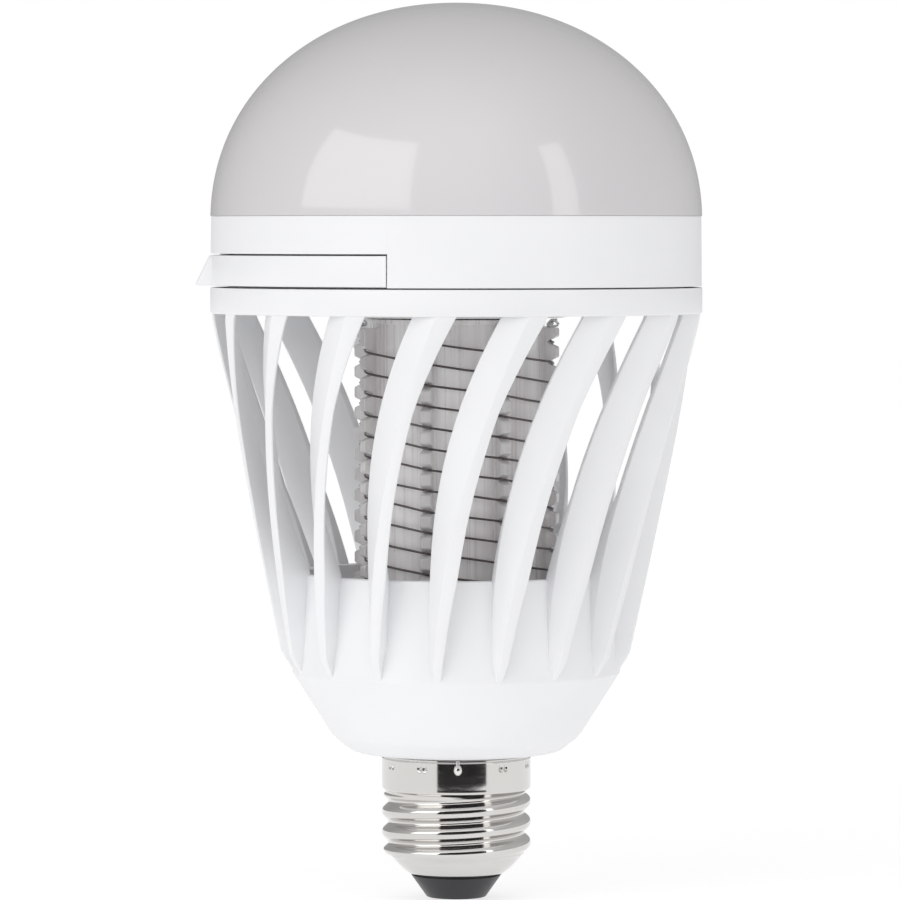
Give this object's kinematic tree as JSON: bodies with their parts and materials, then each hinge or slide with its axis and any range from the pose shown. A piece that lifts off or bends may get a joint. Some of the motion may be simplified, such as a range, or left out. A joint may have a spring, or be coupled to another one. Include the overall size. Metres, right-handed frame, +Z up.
{
  "type": "electric bug zapper bulb",
  "caption": "Light bulb with a high-voltage insect grid inside a cage of swept fins, an opal light dome above, a screw cap below and a pull-off cleaning brush.",
  "frame": {"origin": "tip of the centre contact on the bulb's axis", "axes": "+Z up the bulb's axis towards the light dome, -Y to the front, +X to the right seen from the front"},
  "size_m": [0.0889, 0.0863, 0.1572],
  "materials": {
    "white_plastic": "satin moulded",
    "opal_plastic": "smooth opal diffuser",
    "clear_plastic": "clear, slightly smoky",
    "nickel_shell": "bright nickel plate",
    "tin_solder": "bright solder",
    "wire_steel": "dark bare wire",
    "screw_steel": "zinc plated",
    "aluminium": "bare sheet",
    "black_insulator": "dark insulator",
    "driver_board_green": "solder mask",
    "light_board_white": "white solder mask",
    "led_phosphor": "phosphor",
    "uv_led_window": "clear resin",
    "transformer_tape": "polyester tape",
    "capacitor_blue": "dipped resin",
    "resistor_grey": "cement coat",
    "lead_red": "insulated lead",
    "lead_black": "insulated lead",
    "lead_white": "insulated lead",
    "nylon_bristle": "nylon bristles"
  },
  "bodies": {
    "bulb": {"base_insulator": "black_insulator", "board_screw_1": "screw_steel", "board_screw_2": "screw_steel", "board_screw_3": "screw_steel", "bridge_rectifier": "black_insulator", "centre_contact": "nickel_shell", "centre_contact_lead": "lead_black", "collar_ring": "white_plastic", "cover_screw_1": "screw_steel", "cover_screw_2": "screw_steel", "cover_screw_3": "screw_steel", "dome_diffuser": "opal_plastic", "driver_bay_cover": "white_plastic", "driver_board": "driver_board_green", "filter_choke": "black_insulator", "fin_cage_housing": "white_plastic", "fuse_resistor": "resistor_grey", "grid_frame": "clear_plastic", "grid_holder": "white_plastic", "grid_wire_1": "wire_steel", "grid_wire_2": "wire_steel", "grid_wire_3": "wire_steel", "grid_wire_4": "wire_steel", "heat_plate": "aluminium", "hv_capacitor_1": "capacitor_blue", "hv_capacitor_2": "capacitor_blue", "hv_lead_1": "lead_white", "hv_lead_2": "lead_white", "hv_tab_1": "nickel_shell", "hv_tab_2": "nickel_shell", "hv_transformer": "transformer_tape", "input_capacitor": "aluminium", "led_connector": "white_plastic", "led_lead_negative": "lead_black", "led_lead_positive": "lead_red", "screw_shell": "nickel_shell", "shell_lead": "lead_white", "shell_solder_dot": "tin_solder", "uv_led_1": "uv_led_window", "uv_led_2": "uv_led_window", "uv_led_3": "uv_led_window", "uv_led_4": "uv_led_window", "uv_led_board": "light_board_white", "white_led_1": "led_phosphor", "white_led_2": "led_phosphor", "white_led_3": "led_phosphor", "white_led_4": "led_phosphor", "white_led_5": "led_phosphor", "white_led_6": "led_phosphor", "white_led_7": "led_phosphor", "white_led_8": "led_phosphor", "white_led_9": "led_phosphor", "white_led_board": "light_board_white"},
    "brush": {"brush_handle": "white_plastic", "bristle_tuft_1": "nylon_bristle", "bristle_tuft_2": "nylon_bristle", "bristle_tuft_3": "nylon_bristle", "bristle_tuft_4": "nylon_bristle", "bristle_tuft_5": "nylon_bristle"}
  },
  "joints": [
    {"name": "brush_pull", "type": "slide", "parent": "bulb", "child": "brush", "axis": [-0.8603, -0.5098, 0], "range_m": [0, 0.03]}
  ]
}
